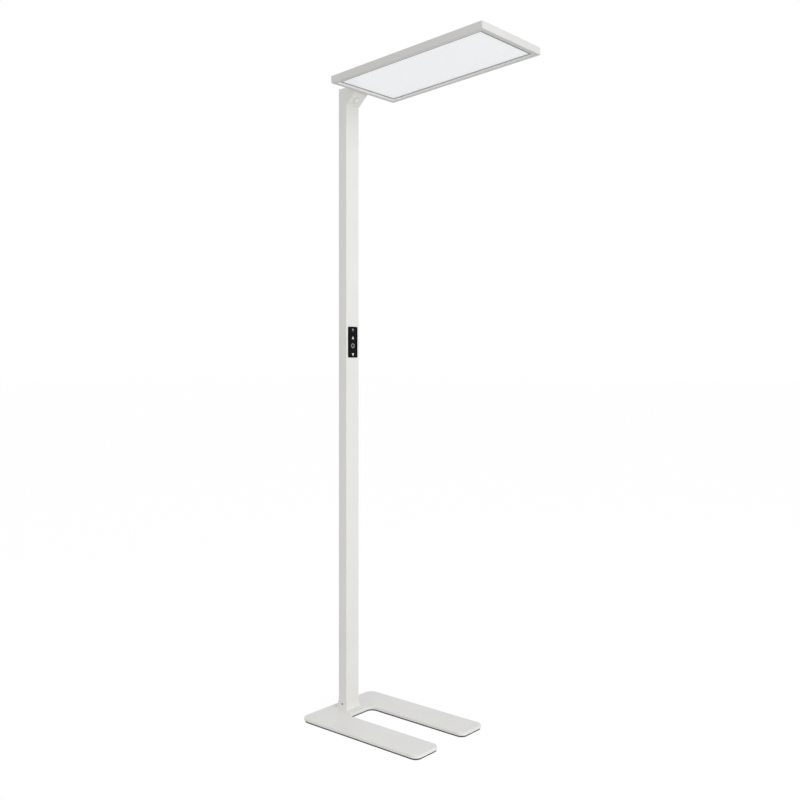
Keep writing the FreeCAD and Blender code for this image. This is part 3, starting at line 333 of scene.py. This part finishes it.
def moulded(name, light, dark, roughness, grain=0.0006, depth=0.00002):
    """Moulded plastic with a fine spark-eroded grain, still open for more steps."""
    cloud, sheen = 0.01, 0.002
    plastic = Finish(name, light, roughness)
    plastic.tint(plastic.noise(cloud), dark, light)
    plastic.rough(plastic.noise(sheen), low=roughness - 0.06, high=roughness + 0.08)
    plastic.relief(plastic.noise(grain, detail=2), depth, strength=0.8)
    return plastic


def opal_diffuser():
    """Opal acrylic below the light guide: faint prism dots and a soft inner glow."""
    prism = 0.0014
    sheet = moulded("opal diffuser", (0.80, 0.81, 0.83), (0.78, 0.79, 0.81), 0.32,
                    grain=0.0012, depth=0.00001)
    sheet.relief(sheet.cells(prism), depth=0.00002, strength=0.5)
    sheet.set("Emission Color", (0.93, 0.95, 1.0, 1)).set("Emission Strength", 0.25)
    return sheet.material


def sensor_dome():
    """The sensor's milky lens plastic under a thin gloss."""
    dome = moulded("milky sensor dome", (0.80, 0.80, 0.78), (0.76, 0.76, 0.74), 0.25,
                   grain=0.0008, depth=0.00001)
    dome.set("Coat Weight", 0.2).set("Coat Roughness", 0.12)
    return dome.material


def turned_steel(name, tone=(0.56, 0.56, 0.55)):
    """Plated steel with fine drawn lines."""
    cloud, sheen, line = 0.005, 0.0006, 0.0004
    steel = Finish(name, tone, roughness=0.34, metallic=1.0)
    steel.rough(steel.noise(sheen, detail=4, stretch=(1, 1, 8)), low=0.24, high=0.46)
    steel.relief(steel.noise(line, stretch=(1, 1, 10)), depth=0.00002, strength=0.5)
    steel.tint(steel.noise(cloud, detail=2), dimmed(tone, 0.85), tone)
    return steel.material


def cast_alloy():
    """Rough, unpainted castings."""
    sheen, skin = 0.003, 0.0012
    alloy = Finish("cast alloy", (0.55, 0.55, 0.55), roughness=0.5, metallic=0.9)
    alloy.rough(alloy.noise(sheen, detail=4), low=0.4, high=0.62)
    alloy.relief(alloy.noise(skin, detail=4), depth=0.00012, strength=0.8)
    return alloy.material


def circuit_green():
    """A green board with lighter and darker fields."""
    field, sheen = 0.004, 0.002
    board = Finish("green circuit board", (0.02, 0.12, 0.05), roughness=0.4)
    board.tint(board.cells(field), (0.012, 0.08, 0.035), (0.03, 0.16, 0.07), start=0.0, end=0.6)
    board.rough(board.noise(sheen), low=0.3, high=0.5)
    return board.material


def grey_foam():
    """Foam with open cells."""
    cell = 0.0012
    foam = Finish("grey foam", (0.12, 0.12, 0.125), roughness=0.95)
    foam.tint(foam.cells(cell), (0.06, 0.06, 0.062), (0.17, 0.17, 0.175), start=0.0, end=0.6)
    foam.relief(foam.cells(cell), depth=0.0004)
    return foam.material


def clear_guide():
    """The acrylic guide with its printed dots; seen only from inside the head."""
    dot = 0.002
    guide = Finish("clear light guide", (0.86, 0.92, 0.93), roughness=0.06)
    guide.set("Transmission Weight", 0.85).set("IOR", 1.49)
    guide.relief(guide.cells(dot), depth=0.00005, strength=0.4)
    return guide.material


OFF_WHITE = powder_coat("off-white powder coat", (0.76, 0.755, 0.73), (0.735, 0.73, 0.705))
# The head's coat is the column's off-white paint drawn darker: painted shade.
HEAD_SHADED_WHITE = powder_coat("off-white head coat with painted shade", (0.665, 0.66, 0.648), (0.64, 0.635, 0.622))
# The foot's coat is the same off-white paint drawn lighter: painted light on its upper face.
FOOT_LIT_WHITE = powder_coat("off-white foot coat with painted light", (0.79, 0.785, 0.765), (0.76, 0.755, 0.735))
FOOT_MAT = floor_rubber()
PANEL_GLOSS = panel_gloss()
KEY_BLACK = key_black()
MARK_BRIGHT = symbol_print("pale key print", (0.80, 0.80, 0.80))
MARK_FAINT = symbol_print("faint key print", (0.11, 0.11, 0.115))
MARK_DIM = symbol_print("grey key print", (0.21, 0.21, 0.22))
OPAL = opal_diffuser()
SENSOR_DOME = sensor_dome()
# A band drawn whiter than the paint: painted light from the diffuser's glow on the frame's inner wall.
GLOW_LIGHT_BAND = moulded("painted glow light band", (0.88, 0.88, 0.87), (0.85, 0.85, 0.84), 0.45).material
# A grey strip drawn where there is a shadow gap at the diffuser's edge: painted shade.
GAP_SHADE_GREY = moulded("painted gap shade", (0.36, 0.36, 0.36), (0.32, 0.32, 0.32), 0.7,
                    grain=0.0008, depth=0.00005).material
SENSOR_TRIM = moulded("sensor trim", (0.70, 0.70, 0.68), (0.66, 0.66, 0.64), 0.45).material
GLAND_BLACK = moulded("black nylon", (0.02, 0.02, 0.02), (0.014, 0.014, 0.014), 0.55,
                      grain=0.0008, depth=0.00005).material
STEEL = turned_steel("plated steel")
BLACKED_STEEL = turned_steel("blacked steel", (0.035, 0.035, 0.037))
CAST_ALLOY = cast_alloy()
CIRCUIT_GREEN = circuit_green()
DIODE_BOARD = moulded("white diode board", (0.75, 0.75, 0.73), (0.7, 0.7, 0.68), 0.4).material
DRIVER_CASE = moulded("light driver case", (0.62, 0.62, 0.6), (0.57, 0.57, 0.55), 0.6,
                      grain=0.001, depth=0.00006).material
TERMINAL_GREY = moulded("grey terminal plastic", (0.3, 0.31, 0.32), (0.25, 0.26, 0.27), 0.5).material
WIRE_SHEATH = moulded("grey wire sheath", (0.5, 0.5, 0.49), (0.44, 0.44, 0.43), 0.6,
                      grain=0.0009, depth=0.00004).material
WHITE_FILM = moulded("white reflector film", (0.88, 0.88, 0.88), (0.85, 0.85, 0.85), 0.5).material
FOAM = grey_foam()
CLEAR_GUIDE = clear_guide()

# The finish of every node that is shown. The other nodes are made again further down: five kinds of
# screws and the sensor's lens.
NODE_FINISHES = {
    "arm_bolts": STEEL, "arm_pad": STEEL, "arm_seat": CAST_ALLOY, "back_cover": HEAD_SHADED_WHITE,
    "base_mat": FOOT_MAT, "base_plate": FOOT_LIT_WHITE, "board_screws": STEEL,
    "bracket_cap": OFF_WHITE, "bracket_housing": OFF_WHITE, "cable_gland": GLAND_BLACK,
    "collar_set_screws": BLACKED_STEEL, "column_tube": OFF_WHITE, "control_bezel": PANEL_GLOSS,
    "corner_keys": CAST_ALLOY, "diffuser": OPAL, "driver_carrier": STEEL, "foam_sheet": FOAM,
    "foot_collar": OFF_WHITE, "foot_spigot": CAST_ALLOY, "frame_rail_far": HEAD_SHADED_WHITE,
    "frame_rail_left": HEAD_SHADED_WHITE, "frame_rail_near": HEAD_SHADED_WHITE, "frame_rail_right": HEAD_SHADED_WHITE,
    "gland_nut": GLAND_BLACK, "head_arm": STEEL, "head_wire": WIRE_SHEATH,
    "key_brighter": KEY_BLACK, "key_dimmer": KEY_BLACK, "key_power": KEY_BLACK,
    "key_sensor": KEY_BLACK, "led_driver": DRIVER_CASE, "led_strip_left": DIODE_BOARD,
    "led_strip_right": DIODE_BOARD, "light_guide": CLEAR_GUIDE, "reflector_sheet": WHITE_FILM,
    "sensor_board": CIRCUIT_GREEN, "sensor_ring": SENSOR_TRIM, "switch_board": CIRCUIT_GREEN,
    "terminal_block": TERMINAL_GREY, "wire_connector": TERMINAL_GREY,
}
for node_name, finish in NODE_FINISHES.items():
    carried = nodes[node_name]
    carried.data.materials.clear()
    carried.data.materials.append(finish)


# ---- key symbols ----------------------------------------------------------------------------------

PRINT_THICK = 0.0002


def print_on_key(mark, finish, key, rise):
    """Stands a symbol, drawn flat about the origin, up on a key's face, that far above its middle."""
    low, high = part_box(key)
    mark.data.transform(Matrix.Rotation(math.radians(90), 4, "X"))
    mark.data.transform(Matrix.Rotation(math.radians(90), 4, "Z"))
    mark.data.transform(Matrix.Translation((high.x, 0, (low.z + high.z) / 2 + rise)))
    return finish_piece(mark, finish, key + "_body")


def make_triangle(name, key, rise, upward):
    """A solid arrow head, with slightly rounded corners."""
    reach, stretch, corner = 0.0055, 1.06, 0.0004
    mark = add_rod(name, reach, PRINT_THICK, (0, 0, 0), sides=3)
    mark.data.transform(Matrix.Rotation(0 if upward else math.pi, 4, "Z"))
    mark.data.transform(Matrix.Diagonal((1, stretch, 1, 1)))
    round_edges(mark, lambda a, b: abs(a.z - b.z) > PRINT_THICK / 2, corner, 3)
    return print_on_key(mark, MARK_BRIGHT, key, rise)


def make_power_ring(name, key, rise):
    """A thick ring of print round a darker middle."""
    outer, inner = 0.0076, 0.0042
    mark = add_rod(name, outer, PRINT_THICK, (0, 0, 0), sides=64)
    carve(mark, add_rod("ring_hole", inner, PAST, (0, 0, 0)))
    return print_on_key(mark, MARK_DIM, key, rise)


def make_presence_mark(name, key, rise):
    """A small figure seen by the sensor: a round head over rounded shoulders."""
    head_radius, head_middle = 0.0017, 0.0026
    shoulder_radius, shoulder_middle, shoulder_foot = 0.0060, -0.0054, -0.0030
    head = add_rod(name, head_radius, PRINT_THICK, (0, head_middle, 0), sides=40)
    shoulders = add_rod(name + "_shoulders", shoulder_radius, PRINT_THICK, (0, shoulder_middle, 0))
    choose_faces(shoulders, lambda centre, normal: True)
    bpy.ops.mesh.bisect(plane_co=(0, shoulder_foot, 0), plane_no=(0, -1, 0), use_fill=True,
                        clear_outer=True)
    close_edit()
    print_on_key(head, MARK_BRIGHT, key, rise)
    print_on_key(shoulders, MARK_FAINT, key, rise)


make_presence_mark("presence_mark", "key_sensor", 0.00285)
make_triangle("brighter_mark", "key_brighter", 0.00025, upward=True)
make_power_ring("power_mark", "key_power", 0.0015)
make_triangle("dimmer_mark", "key_dimmer", -0.0033, upward=False)


# ---- screws ---------------------------------------------------------------------------------------

def make_screw(name, head, head_tall, shank, length):
    """A pan-head screw along +Z with its head below Z = 0, a hexagon drive and turned thread rings.

    The head and the shank are given by their radii, and each by how far it reaches along the screw.
    """
    head_round = 0.35 * head_tall
    drive, drive_deep = 0.5 * head, 0.55 * head_tall
    turns = max(2, int(length / (0.55 * shank)))
    half_pitch = length / turns / 2
    thread_swing = 0.86
    touching = 1e-6
    body = add_rod(name, head, head_tall, (0, 0, -head_tall / 2))
    round_edges(body, lambda a, b: max(a.z, b.z) < touching - head_tall, head_round, 4)
    carve(body, add_rod("drive", drive, 2 * drive_deep, (0, 0, -head_tall), sides=6))
    choose_faces(body, lambda centre, normal: normal.z > 0.9 and abs(centre.z) < touching)
    bpy.ops.mesh.inset(thickness=head - shank)
    for turn in range(turns):
        for grow in (thread_swing, 1 / thread_swing):
            bpy.ops.mesh.extrude_region_move(TRANSFORM_OT_translate={"value": (0, 0, half_pitch)})
            bpy.ops.transform.resize(value=(grow, grow, 1))
    close_edit()
    smooth(body, 35)
    return body


def set_screws(name, places, stands_for, **sizes):
    """One screw modelled once and copied to each place, for the node with the plain ones."""
    first = make_screw(name, **sizes)
    for number, place in enumerate(places):
        copy = first.copy()
        copy.data = first.data.copy()
        copy.name = copy.data.name = "%s_%d" % (name, number + 1)
        bpy.context.scene.collection.objects.link(copy)
        copy.data.transform(place)
        finish_piece(copy, STEEL, stands_for=(stands_for,) if number == 0 else ())
    bpy.data.objects.remove(first)


def from_head_top(x, y):
    """A place on the head's upper face, looking down into the head."""
    over_cover = Matrix.Translation((x, y, HEAD_COVER_TOP))
    return head_matrix() @ over_cover @ Matrix.Rotation(math.pi, 4, "X")


def from_column_back(height):
    """A place on the column's back, looking forwards into it."""
    return Matrix.Translation((COLUMN_BACK, 0, height)) @ Matrix.Rotation(math.radians(90), 4, "Y")


def from_foot_below(x, y):
    """A place on the floor of a counterbore under the foot, looking up."""
    counterbore_floor = 0.009
    return Matrix.Translation((x, y, counterbore_floor))


COVER_EDGE = 0.007
COVER_SCREWS = [(share * HEAD_LONG, side * (HEAD_HALF - COVER_EDGE)) for share in (0.06, 0.5, 0.94)
                for side in (-1, 1)]
ARM_SCREWS = [(0.030, -0.010), (0.030, 0.010), (0.062, 0.0)]
CARRIER_SCREWS = [0.152, 0.411]
BRACKET_SCREWS = [1.842, 1.824]
FOOT_SCREWS = [(x, y) for x in (-0.008, 0.008) for y in (-0.017, 0.017)]

set_screws("cover_screw", [from_head_top(x, y) for x, y in COVER_SCREWS], "cover_screws",
           head=0.0026, head_tall=0.0012, shank=0.0012, length=0.0033)
set_screws("arm_screw", [from_head_top(x, y) for x, y in ARM_SCREWS], "arm_screws",
           head=0.0038, head_tall=0.0018, shank=0.0019, length=0.0080)
set_screws("carrier_screw", [from_column_back(height) for height in CARRIER_SCREWS], "carrier_screws",
           head=0.0038, head_tall=0.0020, shank=0.0019, length=0.0048)
set_screws("bracket_screw", [from_column_back(height) for height in BRACKET_SCREWS], "bracket_screws",
           head=0.0038, head_tall=0.0020, shank=0.0019, length=0.0044)
set_screws("base_screw", [from_foot_below(x, y) for x, y in FOOT_SCREWS], "base_screws",
           head=0.0052, head_tall=0.0035, shank=0.0029, length=0.0158)


# ---- painted light and shade in the head's step ---------------------------------------------------

def make_glow_band():
    """A white L-shaped band round inside the frame's step, below the diffuser: painted light from the
    diffuser's glow on the frame's inner wall and the shelf's outer edge.
    """
    long, half = HEAD_LONG - RAIL_WIDE, HEAD_HALF - RAIL_WIDE
    leg, foot, low = 0.0004, 0.0042, 0.0003
    glow_band = add_block("head_glow_band", (RAIL_WIDE, -half, low), (long, half, RAIL_STEP))
    for inward, top in ((leg, RAIL_STEP - leg), (foot, RAIL_STEP + PAST)):
        room = add_block("room", (RAIL_WIDE + inward, inward - half, -PAST),
                         (long - inward, half - inward, top))
        carve(glow_band, room)
    soften(glow_band, 0.00012)
    return finish_piece(on_head(glow_band), GLOW_LIGHT_BAND)


def make_gap_shade():
    """A grey strip along the inner edge of the frame's shelf, which the diffuser lies behind: painted
    shade in the gap at the diffuser's edge.
    """
    outer, inner, thick = RAIL_WIDE + 0.0062, RAIL_WIDE + 0.0101, 0.0004
    shade_band = add_block("gap_shade_band", (outer, outer - HEAD_HALF, RAIL_STEP - thick),
                     (HEAD_LONG - outer, HEAD_HALF - outer, RAIL_STEP))
    room = add_block("room", (inner, inner - HEAD_HALF, -PAST),
                     (HEAD_LONG - inner, HEAD_HALF - inner, RAIL_STEP + PAST))
    carve(shade_band, room)
    soften(shade_band, 0.0001)
    return finish_piece(on_head(shade_band), GAP_SHADE_GREY)


make_glow_band()
make_gap_shade()


# ---- sensor dome ----------------------------------------------------------------------------------

def make_sensor_dome():
    """A smooth dome in place of the faceted one, square to the bracket's sloped face."""
    centre = Vector((0.033, 0, 1.87343))
    slope = math.radians(42.13)
    radius, rise, skirt_top, skirt_deep = 0.0088, 0.0038, 0.0014, 0.0039
    outward = Vector((math.sin(slope), 0, -math.cos(slope)))
    put_down_everything()
    bpy.ops.mesh.primitive_uv_sphere_add(segments=64, ring_count=48, radius=radius)
    dome = name_piece("lens_dome")
    settle(dome)
    choose_faces(dome, lambda middle, normal: True)
    bpy.ops.mesh.bisect(plane_co=(0, 0, 0), plane_no=(0, 0, 1), use_fill=True, clear_inner=True)
    close_edit()
    dome.data.transform(Matrix.Diagonal((1, 1, rise / radius, 1)))
    dome.data.transform(Matrix.Translation((0, 0, skirt_top)))
    choose_faces(dome, lambda middle, normal: normal.z < -0.9)
    bpy.ops.mesh.extrude_region_move(TRANSFORM_OT_translate={"value": (0, 0, -skirt_deep)})
    close_edit()
    turn = Vector((0, 0, 1)).rotation_difference(outward).to_matrix().to_4x4()
    dome.data.transform(Matrix.Translation(centre) @ turn)
    smooth(dome, 40)
    return finish_piece(dome, SENSOR_DOME, stands_for=("sensor_lens",))


make_sensor_dome()


# ---- studio ---------------------------------------------------------------------------------------

LAMP_MIDDLE = Vector((0.1, 0, 1.0))
WHITE = (1, 1, 1, 1)


def make_camera():
    """The photograph's camera: level, about 2.9 m from the column, with the picture shifted down."""
    focal_pixels, picture_pixels, sensor = 952.2, 800, 36.0
    camera_data = bpy.data.cameras.new("camera")
    camera_data.sensor_width = sensor
    camera_data.lens = focal_pixels / picture_pixels * sensor
    camera_data.shift_y = -0.045
    camera_data.clip_end = 200
    camera = bpy.data.objects.new("camera", camera_data)
    camera.location = (2.0197, -2.1326, 1.0685)
    camera.rotation_euler = (math.radians(90), 0, math.radians(40.36))
    bpy.context.scene.collection.objects.link(camera)
    bpy.context.scene.camera = camera


def make_softbox(name, place, size, power):
    """A square lamp that faces the middle of the object."""
    lamp = bpy.data.lights.new(name, "AREA")
    lamp.shape = "SQUARE"
    lamp.size = size
    lamp.energy = power
    holder = bpy.data.objects.new(name, lamp)
    holder.location = place
    holder.rotation_euler = (LAMP_MIDDLE - Vector(place)).to_track_quat("-Z", "Y").to_euler()
    bpy.context.scene.collection.objects.link(holder)


def lit_backdrop(tree, shade, glow, share):
    """Lets the camera, gloss and glass see that share of a near-white glow over the plain shader."""
    path = tree.nodes.new("ShaderNodeLightPath")
    seen = path.outputs["Is Camera Ray"]
    for ray in ("Is Glossy Ray", "Is Transmission Ray"):
        either = tree.nodes.new("ShaderNodeMath")
        either.operation = "MAXIMUM"
        tree.links.new(seen, either.inputs[0])
        tree.links.new(path.outputs[ray], either.inputs[1])
        seen = either.outputs[0]
    scale = tree.nodes.new("ShaderNodeMath")
    scale.operation = "MULTIPLY"
    scale.inputs[1].default_value = share
    tree.links.new(seen, scale.inputs[0])
    mix = tree.nodes.new("ShaderNodeMixShader")
    tree.links.new(scale.outputs[0], mix.inputs["Fac"])
    tree.links.new(shade, mix.inputs[1])
    tree.links.new(glow, mix.inputs[2])
    return mix.outputs[0]


def make_floor():
    """A pale matt floor that keeps the lamp's shadow under the glow."""
    glow_share = 0.86
    put_down_everything()
    bpy.ops.mesh.primitive_plane_add(size=120, location=(0, 0, 0))
    floor = name_piece("studio_floor")
    settle(floor)
    material = bpy.data.materials.new("pale studio floor")
    material.use_nodes = True
    tree = material.node_tree
    matt = tree.nodes["Principled BSDF"]
    matt.inputs["Base Color"].default_value = (0.71, 0.71, 0.70, 1)
    matt.inputs["Roughness"].default_value = 0.9
    matt.inputs["Specular IOR Level"].default_value = 0.1
    glow = tree.nodes.new("ShaderNodeEmission")
    glow.inputs["Color"].default_value = WHITE
    glow.inputs["Strength"].default_value = 1.07
    shown = lit_backdrop(tree, matt.outputs[0], glow.outputs[0], glow_share)
    tree.links.new(shown, tree.nodes["Material Output"].inputs["Surface"])
    floor.data.materials.append(material)


def make_world():
    """White light from all round, and a plain white background."""
    world = bpy.data.worlds.new("studio")
    world.use_nodes = True
    tree = world.node_tree
    room = tree.nodes["Background"]
    room.inputs["Color"].default_value = WHITE
    room.inputs["Strength"].default_value = 0.72
    glow = tree.nodes.new("ShaderNodeBackground")
    glow.inputs["Color"].default_value = WHITE
    glow.inputs["Strength"].default_value = 1.0
    shown = lit_backdrop(tree, room.outputs[0], glow.outputs[0], 1.0)
    tree.links.new(shown, tree.nodes["World Output"].inputs["Surface"])
    bpy.context.scene.world = world


make_camera()
make_world()
make_floor()
make_softbox("front_softbox", (4.2, -0.6, 1.8), size=3.0, power=80)
make_softbox("side_softbox", (0.4, -4.2, 1.0), size=3.0, power=16)
bpy.context.scene.view_settings.view_transform = "Standard"
